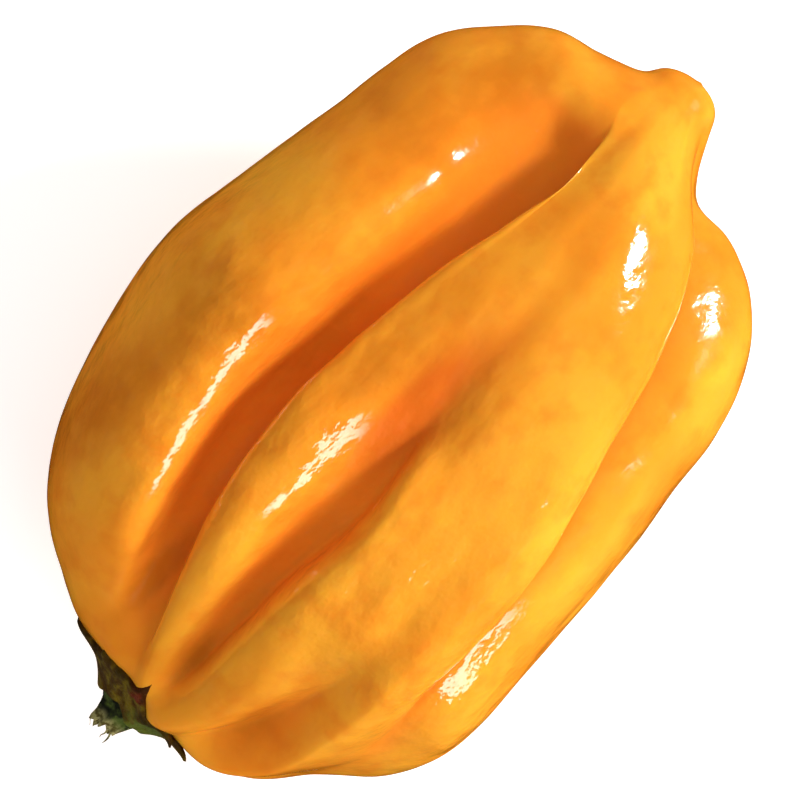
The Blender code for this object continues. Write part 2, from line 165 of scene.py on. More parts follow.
TIP_END_SIDES = {
    **STEM_END_SIDES,
    "deep_furrow": (
        (
            (0.0, 0.0), (0.24, 0.0), (0.4, 0.07), (0.44, 0.17), (0.48, 0.28), (0.56, 0.43), (0.66, 0.6),
            (0.78, 0.78), (0.9, 0.93), (1.0, 1.0),
        ),
        ((0.0, 0.0), (-0.1, 0.45), (0.02, 0.86), (0.3, 0.97), (1.0, 1.0)),
    ),
    "middle_furrow": (
        ((0.0, 0.0), (0.33, 0.06), (0.5, 0.4), (0.6, 0.84), (0.75, 0.96), (1.0, 1.0)),
        ((0.0, 0.0), (0.06, 0.4), (0.16, 0.7), (0.35, 0.88), (0.65, 0.97), (1.0, 1.0)),
    ),
    "side_furrow": (
        ((0.0, 0.0), (0.14, 0.3), (0.33, 0.62), (0.58, 0.86), (1.0, 1.0)),
        ((0.0, 0.0), (0.06, 0.22), (0.21, 0.4), (0.38, 0.57), (0.56, 0.73), (0.77, 0.9), (1.0, 1.0)),
    ),
}

# Where along the pod the one set of shapes turns into the other, and where it does so at the middle furrow.
CHANGE = (31.0, 43.5)
MIDDLE_CHANGE = (22.0, 31.0)

FULL_DEPTH = 1.3  # a furrow shallower than this softens into a dent

POD_RINGS = 281
POD_STEPS = 24  # columns of faces between one line and the next
SPLINE_FINENESS = 40  # places worked out for each point of a smooth curve
SOFTENING = 6  # passes that round the bottoms of the furrows
SOFTENING_SHARES = (0.5, 0.3, 0.2)  # of a point itself, of those beside it, and of those before and after


def spline(points, count):
    """A smooth curve through the points, as count points evenly spaced along it."""
    knots = np.array(points, float)
    chords = np.linalg.norm(np.diff(knots, axis=0), axis=1)
    at = np.concatenate([[0.0], np.cumsum(np.sqrt(chords))])
    slopes = np.gradient(knots, at, axis=0)
    fine = np.linspace(0.0, at[-1], SPLINE_FINENESS * len(knots))
    before = np.clip(np.searchsorted(at, fine, side="right") - 1, 0, len(knots) - 2)
    span = (at[before + 1] - at[before])[:, None]
    t = (fine - at[before])[:, None] / span
    curve = (
        (2 * t**3 - 3 * t**2 + 1) * knots[before]
        + (t**3 - 2 * t**2 + t) * span * slopes[before]
        + (3 * t**2 - 2 * t**3) * knots[before + 1]
        + (t**3 - t**2) * span * slopes[before + 1]
    )
    length = np.concatenate([[0.0], np.cumsum(np.linalg.norm(np.diff(curve, axis=0), axis=1))])
    even = np.linspace(0.0, length[-1], count)
    return np.stack([np.interp(even, length, values) for values in curve.T], axis=1)


def centre_at(along):
    """Where the pod's centre line is, as (across, up), at each distance along it."""
    line = np.array(CENTRE_LINE)
    return np.interp(along, line[:, 0], line[:, 1]), np.interp(along, line[:, 0], line[:, 2])


def whole_line(points):
    """A line of the pod from pole to pole: the stem end, its own points, then over the nub to the tip."""
    across, up = centre_at(points[-1][0])
    turn = math.atan2(points[-1][1] - across, points[-1][2] - up)
    over_nub = []
    for along, radius in NUB_RINGS:
        across, up = centre_at(along)
        over_nub.append((along, across + radius * math.sin(turn), up + radius * math.cos(turn)))
    return [CENTRE_LINE[0], *points, *over_nub, CENTRE_LINE[-1]]


def polar_line(points):
    """A line as distance along, radius from the centre line and angle from straight up, ring by ring."""
    curve = spline(whole_line(points), POD_RINGS)
    across, up = centre_at(curve[:, 0])
    side, height = curve[:, 1] - across, curve[:, 2] - up
    angle = np.arctan2(side, height)
    angle[0], angle[-1] = angle[1], angle[-2]
    return curve[:, 0], np.hypot(side, height), angle


def turned(angle):
    """An angle brought between half a turn back and half a turn on."""
    return (angle + math.pi) % (2 * math.pi) - math.pi


def all_lines():
    """Every line as (along, radius, angle, slope of the radius round the pod, depth below the lower of its
    two neighbours, depth below their middle), in the order round the pod."""
    along, radius, angle = (np.stack(part) for part in zip(*[polar_line(line) for line in LINES.values()]))
    onward = turned(np.roll(angle, -1, axis=0) - angle)
    after, before = np.roll(radius, -1, axis=0), np.roll(radius, 1, axis=0)
    ahead = (after - radius) / onward
    behind = np.roll(ahead, 1, axis=0)
    slope = np.where(ahead * behind > 0, np.sign(ahead) * np.minimum(abs(ahead), abs(behind)), 0.0)
    depth = np.maximum(np.minimum(after, before) - radius, 0.0)
    hollow = np.maximum((after + before) / 2 - radius, 0.0)
    return list(zip(along, radius, angle, slope, depth, hollow))


def flank(here, there, shapes, rising):
    """Columns of points from one line of the pod to the next, as arrays of rings by columns. here and there
    are the two lines, each as all_lines gives it. shapes are the lobe's at the stem end and at the tip end,
    with where the one turns into the other. rising says that the furrow comes first.
    It also gives how far in the hollow of the furrow each point lies."""
    furrow, crest = (here, there) if rising else (there, here)
    along_f, radius_f, angle_f, slope_f, depth_f, hollow_f = (values[:, None] for values in furrow)
    along_c, radius_c, angle_c, slope_c, _, _ = (values[:, None] for values in crest)
    stem_shape, tip_shape, (change_from, change_to) = shapes
    near_tip = np.clip((along_f - change_from) / (change_to - change_from), 0.0, 1.0)[:, :, None]
    stem_end, tip_end = (spline(shape, POD_STEPS + 1)[None] for shape in (stem_shape, tip_shape))
    shares = stem_end + (tip_end - stem_end) * near_tip**2 * (3 - 2 * near_tip)
    reach = np.arange(POD_STEPS + 1)[None] / POD_STEPS
    if not rising:
        shares, reach = shares[:, ::-1], reach[:, ::-1]
    turn_share, climb, reach = shares[:, :-1, 0], shares[:, :-1, 1], reach[:, :-1]
    turn = turned(angle_c - angle_f)
    climb_height = radius_c - radius_f
    dent = reach**2 * (3 - 2 * reach)
    bulge = turn * reach * (1 - reach) * (slope_f * (1 - reach) - slope_c * reach)
    even = radius_f + climb_height * dent + bulge
    depth_share = 1 - np.exp(-((depth_f / FULL_DEPTH) ** 2))
    radius = depth_share * (radius_f + climb_height * climb) + (1 - depth_share) * even
    angle = angle_f + turn * (depth_share * turn_share + (1 - depth_share) * reach)
    along = along_f + (along_c - along_f) * dent
    across, up = centre_at(along)
    points = np.stack([along, across + radius * np.sin(angle), up + radius * np.cos(angle)], axis=2)
    risen = depth_share * climb + (1 - depth_share) * dent
    return points, hollow_f * (1 - risen) ** 2


def softened(values):
    """Values on the pod's rings and columns, averaged a little with their neighbours. The poles stay."""
    own, beside, on = SOFTENING_SHARES
    for _ in range(SOFTENING):
        around = (np.roll(values, 1, axis=1) + np.roll(values, -1, axis=1)) / 2
        lengthwise = values.copy()
        lengthwise[1:-1] = (values[:-2] + values[2:]) / 2
        values = own * values + beside * around + on * lengthwise
    return values


def pod_surface():
    """The pod's skin as rings by columns of points, and each point's depth below the lobes beside it."""
    lines = all_lines()
    shapes = []
    for name in STEM_END_SIDES:
        change = MIDDLE_CHANGE if name == "middle_furrow" else CHANGE
        shapes += [(stem, tip, change) for stem, tip in zip(STEM_END_SIDES[name], TIP_END_SIDES[name])]
    columns, depths = [], []
    for index, here in enumerate(lines):
        there = lines[(index + 1) % len(lines)]
        points, depth = flank(here, there, shapes[(index + 1) % len(shapes)], index % 2 == 0)
        columns.append(points)
        depths.append(depth)
    return softened(np.concatenate(columns, axis=1)), softened(np.concatenate(depths, axis=1))


def outward(points):
    """The direction straight out of a surface of rings by columns, at each of its points."""
    along = np.gradient(points, axis=0)
    around = (np.roll(points, -1, axis=1) - np.roll(points, 1, axis=1)) / 2
    normals = np.cross(around, along)
    return normals / np.maximum(np.linalg.norm(normals, axis=2, keepdims=True), 1e-9)


def ripple(points, size, seed, stretch):
    """Smooth noise from about -1 to 1 at each point, in patches of a size, drawn out lengthwise."""
    flat = points.reshape(-1, 3) / (size * stretch, size, size)
    values = [noise.noise(Vector(place) + Vector((seed, 0.0, 0.0))) for place in flat]
    return np.array(values).reshape(points.shape[:2])


# Unevenness of the skin, as (patch size, height, how far patches are drawn out lengthwise).
SKIN_DENTS = ((7.0, 0.16, 1.3), (2.6, 0.05, 1.2), (1.1, 0.016, 1.4))
DENTS_APART = 10.0  # between the places in the noise that the sizes of dent are taken from


def dented(points):
    """The pod's points moved in and out a little, as a grown skin is never quite even. Where the pod rests it
    stays flat on the floor."""
    normals = outward(points)
    moved = points.copy()
    for index, (size, height, stretch) in enumerate(SKIN_DENTS):
        moved += normals * (height * ripple(points, size, DENTS_APART * index, stretch))[:, :, None]
    moved[0], moved[-1] = points[0], points[-1]
    moved[:, :, 2] = np.maximum(moved[:, :, 2], ORIGIN[2])
    return moved


# ---------------------------------------------------------------------------------------- mesh helpers

def placed(point):
    """A point in millimetres from the stem end, as a place in metres from the object's origin."""
    return (Vector(point) - Vector(ORIGIN)) * MM


def linked(name, mesh, finish):
    """An object for a mesh, smooth, with its material."""
    for face in mesh.polygons:
        face.use_smooth = True
    mesh.materials.append(finish)
    piece = bpy.data.objects.new(name, mesh)
    bpy.context.scene.collection.objects.link(piece)
    return piece


def closed_skin(name, rings, finish, marks):
    """A body from rings of points, closed at both ends by a first and a last point. marks are its point
    attributes: each has a name, and rings of values that match the rings of points."""
    first, last = rings[0][0], rings[-1][0]
    inner = rings[1:-1]
    count = len(inner[0])
    vertices = [placed(first)] + [placed(point) for ring in inner for point in ring] + [placed(last)]
    end = len(vertices) - 1
    faces = []
    for column in range(count):
        beside = (column + 1) % count
        faces.append((0, 1 + beside, 1 + column))
        faces.append((end, end - count + column, end - count + beside))
        for ring in range(len(inner) - 1):
            near, far = 1 + ring * count, 1 + (ring + 1) * count
            faces.append((near + column, near + beside, far + beside, far + column))
    mesh = bpy.data.meshes.new(name)
    mesh.from_pydata(vertices, [], faces)
    for mark, values in marks.items():
        attribute = mesh.attributes.new(mark, "FLOAT", "POINT")
        flat = [values[0][0]] + [value for ring in values[1:-1] for value in ring] + [values[-1][0]]
        attribute.data.foreach_set("value", np.array(flat, np.float32))
    out = bmesh.new()
    out.from_mesh(mesh)
    bmesh.ops.recalc_face_normals(out, faces=out.faces[:])
    out.to_mesh(mesh)
    out.free()
    return linked(name, mesh, finish)


# ------------------------------------------------------------------------------------------- materials

class Nodes:
    """A material's node tree, with short calls for the few kinds of node used here."""

    def __init__(self, name):
        self.material = bpy.data.materials.new(name)
        self.material.use_nodes = True
        self.tree = self.material.node_tree
        self.shader = self.tree.nodes["Principled BSDF"]
        self.place = self.add("ShaderNodeTexCoord").outputs["Object"]

    def add(self, kind, inputs=None, **settings):
        node = self.tree.nodes.new(kind)
        for name, value in settings.items():
            setattr(node, name, value)
        for name, value in (inputs or {}).items():
            self.put(node.inputs[name], value)
        return node

    def put(self, socket, value):
        """Links a node's output to a socket, or sets the socket to a plain value."""
        if isinstance(value, bpy.types.NodeSocket):
            self.tree.links.new(value, socket)
        else:
            socket.default_value = value

    def patches(self, size_mm, detail=3.0, roughness=0.5, stretch=(1.0, 1.0, 1.0)):
        """Soft noise from 0 to 1 in patches of about a size."""
        scale = tuple(1.0 / (size_mm * MM * part) for part in stretch)
        mapped = self.add("ShaderNodeMapping", {"Vector": self.place, "Scale": scale}).outputs["Vector"]
        inputs = {"Vector": mapped, "Scale": 1.0, "Detail": detail, "Roughness": roughness}
        return self.add("ShaderNodeTexNoise", inputs).outputs["Fac"]

    def mark(self, name):
        """A point attribute of the mesh."""
        return self.add("ShaderNodeAttribute", attribute_name=name).outputs["Fac"]

    def steps(self, value, low, high, to_low=0.0, to_high=1.0):
        """A value taken from one range to another, eased at both ends and held outside."""
        inputs = {
            "Value": value, "From Min": low, "From Max": high, "To Min": to_low, "To Max": to_high,
        }
        return self.add("ShaderNodeMapRange", inputs, interpolation_type="SMOOTHSTEP").outputs["Result"]

    def mixed(self, share, colour, other):
        """Two colours mixed by a share."""
        node = self.add("ShaderNodeMix", data_type="RGBA")
        self.put(node.inputs["Factor"], share)
        self.put(node.inputs["A"], colour)
        self.put(node.inputs["B"], other)
        return node.outputs["Result"]

    def maths(self, operation, first, second):
        """Two values added or multiplied."""
        node = self.add("ShaderNodeMath", operation=operation)
        self.put(node.inputs[0], first)
        self.put(node.inputs[1], second)
        return node.outputs["Value"]

    def bumped(self, height, distance_mm, under=None):
        """A bump on the surface, over another one or on its own."""
        inputs = {"Height": height, "Distance": distance_mm * MM, "Strength": 1.0}
        if under is not None:
            inputs["Normal"] = under
        return self.add("ShaderNodeBump", inputs).outputs["Normal"]

    def relief(self, shape, under=None, mark=None):
        """A bump made of noise, over another one or on its own, and only as strong as a mark is.
        Its shape is (patch size, height, detail, roughness, how far patches are drawn out lengthwise)."""
        size, height, detail, roughness, stretch = shape
        level = self.patches(size, detail, roughness, (stretch, 1.0, 1.0))
        if mark is not None:
            level = self.maths("MULTIPLY", level, self.mark(mark))
        return self.bumped(level, height, under)


SKIN_ORANGE = (0.92, 0.305, 0.02, 1.0)
SKIN_GOLD = (0.98, 0.40, 0.03, 1.0)
SKIN_DEEP = (0.80, 0.20, 0.012, 1.0)
# A darker, riper colour, used partly for the skin's own mottling and partly as painted shade.
SKIN_RIPE_AND_SHADE = (0.66, 0.18, 0.010, 1.0)
# Painted shade: a redder tint down in the furrows, standing in for light bounced between their walls.
FURROW_SHADE_RED = (0.96, 0.265, 0.02, 1.0)
# Painted shade: a darker red for shallow furrows and hollows that lie in shade.
FLUSH_SHADE_RED = (0.72, 0.145, 0.012, 1.0)
CLOUDS = 9.0  # size of the patches of orange and gold
FRECKLES = 2.2  # size of the deeper freckles
BREAKS = 1.6  # size of the patches that break up a blush
FURROW_SHADE_DEPTHS = (0.05, 2.0)  # depths in a furrow between which its red sets in
MOST_FRECKLED = 0.5  # the most that each colour covers the one under it
MOST_FURROW_SHADE = 0.9
MOST_SHADE_FLUSHED = 0.95
MOST_MOTTLE_AND_SHADE = 0.9
SKIN_IOR = 1.5
GLOSSY_ROUGHNESS = (0.06, 0.13)  # of the skin, from patch to patch
ROUGHNESS_PATCHES = 1.5  # size of those patches
DULL_ROUGHNESS = 0.15  # this is added where the wax is dull
DULL_SPECULAR = 0.03
FLESH_GLOW = 0.4  # share of the light that goes through the flesh
FLESH_DEPTHS = (1.0, 0.35, 0.08)  # how deep red, green and blue go, as shares of the depth
FLESH_DEPTH = 2.0
# The skin's relief, as Nodes.relief takes it.
FOLDS = (3.4, 0.5, 1.0, 0.5, 1.3)
WRINKLES = (1.6, 0.26, 3.0, 0.5, 1.5)
PORES = (0.35, 0.012, 2.0, 0.5, 1.0)


def pod_skin():
    """Waxy skin: mottled orange and gold, glossy and finely crinkled. Painted shade makes it redder down in
    the furrows and a darker red in some shallow ones; its darker and golden patches are partly its own
    mottling, partly painted shade and painted light.
    """
    nodes = Nodes("pod_skin")
    clouds = nodes.steps(nodes.patches(CLOUDS, 2.0), 0.35, 0.65)
    colour = nodes.mixed(clouds, SKIN_ORANGE, SKIN_GOLD)
    freckles = nodes.steps(nodes.patches(FRECKLES), 0.42, 0.75, 0.0, MOST_FRECKLED)
    colour = nodes.mixed(freckles, colour, SKIN_DEEP)
    # Painted shade: the deeper a point lies in a furrow, the redder it is.
    deep = nodes.steps(nodes.mark("furrow"), *FURROW_SHADE_DEPTHS, 0.0, MOST_FURROW_SHADE)
    colour = nodes.mixed(deep, colour, FURROW_SHADE_RED)
    # Painted shade: a darker red where a shallow furrow lies in shade.
    shade_flush = nodes.steps(nodes.mark("shade_flush"), 0.0, 1.0, 0.0, MOST_SHADE_FLUSHED)
    colour = nodes.mixed(shade_flush, colour, FLUSH_SHADE_RED)
    # Darker and golden patches: partly the skin's own mottling, partly painted shade and painted light.
    broken = nodes.steps(nodes.patches(BREAKS, 4.0), 0.3, 0.6, 0.8, 1.15)
    mottle_and_shade = nodes.maths("MULTIPLY", nodes.mark("mottle_and_shade"), broken)
    colour = nodes.mixed(nodes.steps(mottle_and_shade, 0.0, 1.0, 0.0, MOST_MOTTLE_AND_SHADE), colour, SKIN_RIPE_AND_SHADE)
    colour = nodes.mixed(nodes.steps(mottle_and_shade, -1.0, 0.0, MOST_MOTTLE_AND_SHADE, 0.0), colour, SKIN_GOLD)
    shader = nodes.shader
    nodes.put(shader.inputs["Base Color"], colour)
    uneven = nodes.steps(nodes.patches(ROUGHNESS_PATCHES, 4.0), 0.3, 0.7, *GLOSSY_ROUGHNESS)
    dullness = nodes.steps(nodes.mark("dull"), 0.0, 1.0, 0.0, DULL_ROUGHNESS)
    nodes.put(shader.inputs["Roughness"], nodes.maths("ADD", uneven, dullness))
    shader.inputs["IOR"].default_value = SKIN_IOR
    gloss = nodes.steps(nodes.mark("dull"), 0.0, 0.8, 1.0, DULL_SPECULAR)
    nodes.put(shader.inputs["Specular IOR Level"], gloss)
    shader.inputs["Subsurface Weight"].default_value = FLESH_GLOW
    shader.inputs["Subsurface Radius"].default_value = FLESH_DEPTHS
    shader.inputs["Subsurface Scale"].default_value = FLESH_DEPTH * MM
    folds = nodes.relief(FOLDS, mark="crinkled")
    wrinkles = nodes.relief(WRINKLES, folds, "crinkled")
    nodes.put(shader.inputs["Normal"], nodes.relief(PORES, wrinkles))
    return nodes.material


CALYX_OLIVE = (0.075, 0.032, 0.0005, 1.0)
CALYX_YELLOW = (0.16, 0.105, 0.001, 1.0)
CALYX_GREEN = (0.10, 0.125, 0.010, 1.0)
CALYX_RUST = (0.15, 0.017, 0.001, 1.0)
CALYX_DARK = (0.03, 0.014, 0.001, 1.0)
CALYX_PATCHES = 0.9  # size of the patches of olive and yellow
CALYX_RAGGED = 0.7  # size of the patches that break up the colours' edges
CALYX_ROUGHNESS = (0.45, 0.7)
CALYX_ROUGH_PATCHES = 0.6  # size of the patches of the one roughness and the other
CALYX_SPECULAR = 0.1
CALYX_LUMPS = (0.9, 0.35, 2.0, 0.5, 1.0)
CALYX_GRAIN = (0.3, 0.1, 5.0, 0.65, 1.0)


def calyx_skin():
    """Dull olive skin, green at one side of the stem, rusty where it dips into a furrow, dark at its edge."""
    nodes = Nodes("calyx_skin")
    yellowed = nodes.steps(nodes.patches(CALYX_PATCHES, 4.0), 0.42, 0.66)
    colour = nodes.mixed(yellowed, CALYX_OLIVE, CALYX_YELLOW)
    ragged = nodes.steps(nodes.patches(CALYX_RAGGED, 4.0), 0.3, 0.7, 0.5, 1.5)
    for mark, tint in (("fresh", CALYX_GREEN), ("rusty", CALYX_RUST)):
        share = nodes.maths("MULTIPLY", nodes.mark(mark), ragged)
        colour = nodes.mixed(nodes.steps(share, 0.2, 0.8), colour, tint)
    edge = nodes.maths("MULTIPLY", nodes.steps(nodes.mark("edge"), 0.75, 1.0), ragged)
    colour = nodes.mixed(nodes.steps(edge, 0.2, 1.2, 0.0, 0.8), colour, CALYX_DARK)
    shader = nodes.shader
    nodes.put(shader.inputs["Base Color"], colour)
    roughness = nodes.steps(nodes.patches(CALYX_ROUGH_PATCHES), 0.3, 0.7, *CALYX_ROUGHNESS)
    nodes.put(shader.inputs["Roughness"], roughness)
    shader.inputs["Specular IOR Level"].default_value = CALYX_SPECULAR
    nodes.put(shader.inputs["Normal"], nodes.relief(CALYX_GRAIN, nodes.relief(CALYX_LUMPS)))
    return nodes.material


STEM_DARK = (0.010, 0.012, 0.004, 1.0)
STEM_GREEN = (0.07, 0.10, 0.012, 1.0)
FLESH_BROWN = (0.09, 0.07, 0.012, 1.0)
FLESH_PALE = (0.36, 0.32, 0.12, 1.0)
STEM_PATCHES = 0.8  # size of the patches of dark and green
FLESH_PATCHES = 0.5  # size of the patches of brown and pale
STEM_ROUGHNESS = 0.7
STEM_SPECULAR = 0.15
STEM_FIBRES = (0.22, 0.12, 4.0, 0.6, 6.0)


def stem_skin():
    """Dark green skin with lengthwise fibres, and pale torn flesh at the end."""
    nodes = Nodes("stem_skin")
    green = nodes.mixed(nodes.steps(nodes.patches(STEM_PATCHES, 4.0), 0.4, 0.6), STEM_DARK, STEM_GREEN)
    flesh = nodes.mixed(nodes.steps(nodes.patches(FLESH_PATCHES, 4.0), 0.4, 0.6), FLESH_BROWN, FLESH_PALE)
    torn = nodes.steps(nodes.mark("torn"), 0.55, 0.95)
    shader = nodes.shader
    nodes.put(shader.inputs["Base Color"], nodes.mixed(torn, green, flesh))
    shader.inputs["Roughness"].default_value = STEM_ROUGHNESS
    shader.inputs["Specular IOR Level"].default_value = STEM_SPECULAR
    nodes.put(shader.inputs["Normal"], nodes.relief(STEM_FIBRES))
    return nodes.material


# --------------------------------------------------------------------------------------- the pod piece

# Where the skin of the upper side is darker and riper in colour (above zero) or more golden (below zero):
# # partly its own mottling, partly painted shade where a lobe lies away from the light, and painted light
# # where a shaded wall is made golden to look brighter. As (along, across, half length, half width,
# strength).
MOTTLE_AND_SHADE_PATCHES = (
    (12.0, 14.5, 5.0, 2.6, 0.85), (24.0, 17.0, 4.0, 1.5, 0.3), (24.0, 12.0, 7.0, 4.0, 0.5),
    (38.5, 14.5, 2.5, 2.0, 0.3), (45.0, 9.4, 4.0, 3.0, 0.65), (37.5, 10.0, 3.5, 2.5, 0.4),
    (31.0, 11.0, 12.0, 4.0, 0.3), (31.0, 14.2, 4.5, 3.2, -1.1), (17.0, 10.5, 4.0, 1.6, -0.5),
    (26.5, 3.0, 3.5, 1.8, 0.75), (8.0, 4.2, 3.5, 1.0, 1.2), (26.0, 6.8, 7.0, 1.3, 0.35),
    (11.0, 2.2, 5.0, 1.2, -1.2), (5.5, -0.8, 2.2, 0.9, 0.9), (38.0, -3.2, 3.0, 1.5, -0.6),
    (7.0, -4.3, 3.5, 1.3, 0.35), (5.0, -6.6, 2.6, 1.6, 0.7), (23.0, -5.8, 6.0, 1.3, -0.5),
    (20.0, -9.0, 6.0, 2.0, -0.8), (30.0, -8.5, 6.0, 2.0, -0.6), (24.0, -15.0, 6.0, 1.5, -0.8),
)
# Painted shade: where it is a darker red, as a furrow in shade is, although the furrow is shallow there, in
# # the same way.
SHADE_FLUSHES = (
    (26.4, -0.4, 5.2, 1.7, 1.25), (27.0, -3.3, 3.5, 1.0, 0.2),
    (33.0, -1.9, 3.5, 1.4, 0.4), (7.5, -7.4, 3.0, 1.3, 0.2),
    (40.0, 4.6, 6.0, 0.9, 0.3), (47.0, 3.6, 2.0, 0.9, 0.4),
)
# Where the wax is dull and gives no sheen, in the same way but with a sharper edge.
DULL = (
    (7.2, 4.9, 3.0, 1.2, 1.0), (9.9, 7.2, 2.4, 1.1, 1.0), (26.5, 9.6, 2.6, 1.6, 1.0),
    (36.0, 9.3, 2.0, 1.1, 1.0), (24.0, 6.6, 4.5, 0.8, 1.0), (13.0, 1.9, 2.4, 1.0, 1.0),
    (28.0, 0.9, 5.0, 1.6, 1.0), (21.2, -0.1, 3.0, 0.9, 1.0), (24.0, -0.4, 5.0, 0.6, 1.0),
    (22.5, -1.6, 4.5, 1.9, 1.0), (18.5, -3.4, 4.0, 0.8, 1.0), (2.3, -0.75, 1.2, 0.9, 1.0),
    (52.6, -0.2, 1.2, 1.2, 1.0), (16.5, -8.0, 2.5, 1.0, 1.0), (20.0, -11.5, 5.5, 1.0, 1.0),
    (27.5, -13.4, 6.5, 2.0, 1.0), (41.2, -11.7, 2.1, 1.6, 1.0),
)
DULL_EDGE = 2  # the power that sharpens it
UPPER_SIDE = 3.0  # the patches come in from the axis up to this height above it
# The furrows' painted shade fades out towards the tip:
FURROW_SHADE_END = 48.5  # where the furrows' redness has faded out
FURROW_SHADE_FADE = 3.0  # and over what length
CRINKLED = ((7.0, 0.25), (12.0, 1.0), (22.0, 1.0), (36.0, 0.3))  # how crinkled the skin is, place by place


def patched(points, patches, power=1):
    """The strengths of soft patches added up at each point of the pod's upper side. A higher power gives a
    patch a flatter middle and a sharper edge."""
    along, across, up = points[:, :, 0], points[:, :, 1], points[:, :, 2]
    values = np.zeros(along.shape)
    for middle, side, length, width, strength in patches:
        away = ((along - middle) / length) ** 2 + ((across - side) / width) ** 2
        values += strength * np.exp(-(away**power)) * np.clip(up / UPPER_SIDE, 0.0, 1.0)
    return values


def make_pod():
    """The whole orange fruit."""
    points, hollow = pod_surface()
    crinkled = np.interp(points[:, :, 0], *zip(*CRINKLED))
    # The furrows' depth, which sets their painted shade, fades out towards the tip.
    hollow *= np.clip((FURROW_SHADE_END - points[:, :, 0]) / FURROW_SHADE_FADE, 0.0, 1.0)
    # Of these marks, the furrows' depth and the red patches carry painted shade, and the darker and golden
    # patches partly painted shade and light.
    marks = {
        "furrow": hollow, "mottle_and_shade": patched(points, MOTTLE_AND_SHADE_PATCHES), "shade_flush": patched(points, SHADE_FLUSHES),
        "crinkled": crinkled, "dull": np.minimum(patched(points, DULL, DULL_EDGE), 1.0),
    }
    marks = {name: values.tolist() for name, values in marks.items()}
    pod = closed_skin("pod_flesh", dented(points).tolist(), pod_skin(), marks)
    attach(pod, "root")
    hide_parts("pod")
    return pod


# ---------------------------------------------------------------------------------- calyx and the stem

CALYX_RADIUS = 4.5
# The calyx's teeth, as (degrees, reach past the edge, how far the tip curls away from the pod).
CALYX_TEETH = (
    (-132, 1.1, 0.0), (-98, 0.9, 0.2), (-71, 1.4, 0.6), (-50, 0.7, 0.8), (-3, 1.35, 0.0), (40, 0.5, 0.0),
    (76, 1.6, 0.0), (122, 1.2, 0.1), (172, 1.3, 0.0),
)
TOOTH_WIDTH = 13  # degrees from a tooth's tip to where its side fades out
TOOTH_POINT = 1.6  # how sharply a tooth comes to its point
CURL_START = 12  # the higher it is, the nearer to the edge the teeth start to curl
CALYX_RIM = 0.3  # thickness at the edge
CALYX_MIDDLE = 1.55  # thickness round the stem
CALYX_SHOULDER = 3.0  # radius at which the middle has thinned half way to the rim
SHOULDER_STEEPNESS = 6
COLLAR_RADIUS = 2.05  # the ring-shaped swelling round the stem
COLLAR_WIDTH = 0.4
COLLAR_HEIGHT = 0.3
CALYX_COLUMNS = 180
CALYX_RINGS = 30
RING_SPACING = 0.8  # below one, the rings lie closer together at the edge
EDGE_ROUNDNESS = 16  # the higher it is, the more abruptly the edge rounds off
EDGE_WAVES = (0.35, 6.0)  # how far its edge waves in and out, and how often
EDGE_NICKS = (0.24, 19.0)
CALYX_LUMP = (0.12, 0.9)  # share of its thickness by which it is lumpy, and the lumps' size
LUMP_PLACE = 7.0  # where in the noise the lumps are taken from
RAY_START = -20.0  # from here the calyx is laid on the pod
FRESH = (-1.9, 1.5, 1.6, 2.4)  # the greenest place: across, up, half width, half height
RUSTY = (-0.1, 5.4, 1.5, 1.7)  # the rusty place in the furrow's mouth
SUNK = 0.06  # how far one piece sinks into the next, so that no gap shows


def calyx_tooth(degrees):
    """How far a tooth reaches past the calyx's edge at an angle round it, and how far it curls outward."""
    reach, curl = 0.0, 0.0
    for tip, length, lift in CALYX_TEETH:
        away = abs((degrees - tip + 180) % 360 - 180) / TOOTH_WIDTH
        share = max(0.0, 1 - away) ** TOOTH_POINT
        reach += length * share
        curl += lift * share
    return reach, curl


def calyx_thickness(radius, share):
    """How thick the calyx is at a distance from its middle; its edge is rounded."""
    middle = (CALYX_MIDDLE - CALYX_RIM) / (1 + (radius / CALYX_SHOULDER) ** SHOULDER_STEEPNESS)
    collar = COLLAR_HEIGHT * math.exp(-(((radius - COLLAR_RADIUS) / COLLAR_WIDTH) ** 2))
    edge = math.sqrt(max(0.0, 1 - share**EDGE_ROUNDNESS))
    return (CALYX_RIM + middle + collar) * edge


def calyx_edge(degrees):
    """How far the calyx reaches at an angle round it, and how far its edge curls outward there."""
    reach, curl = calyx_tooth(degrees)
    turn = math.radians(degrees)
    place = Vector((math.sin(turn), math.cos(turn), 0.0))
    for depth, rate in (EDGE_WAVES, EDGE_NICKS):
        reach += depth * noise.noise(place * rate)
    return CALYX_RADIUS + reach, curl


def calyx_sides(skin, degrees, share):
    """The calyx's outer and inner point at an angle round it and a share of the way to its edge. skin is the
    pod's surface, on which it is laid."""
    reach, curl = calyx_edge(degrees)
    radius, turn = share * reach, math.radians(degrees)
    across, up = CENTRE_LINE[0][1:]
    side, height = across + radius * math.sin(turn), up + radius * math.cos(turn)
    hit = skin.ray_cast(placed((RAY_START, side, height)), Vector((1.0, 0.0, 0.0)))[0]
    under = hit.x / MM + ORIGIN[0] + SUNK - curl * share**CURL_START
    lumpiness, lump_size = CALYX_LUMP
    lump = lumpiness * noise.noise(Vector((side, height, LUMP_PLACE)) / lump_size) * min(1.0, radius)
    top = under - calyx_thickness(radius, share) * (1 + lump) - (SUNK if share < 1 else 0.0)
    return (top, side, height), (under, side, height)


def nearness(point, place):
    """From 1 at the middle of a place on the calyx down to 0 away from it."""
    _, side, height = point
    middle_side, middle_height, half_width, half_height = place
    away = ((side - middle_side) / half_width) ** 2 + ((height - middle_height) / half_height) ** 2
    return math.exp(-away)


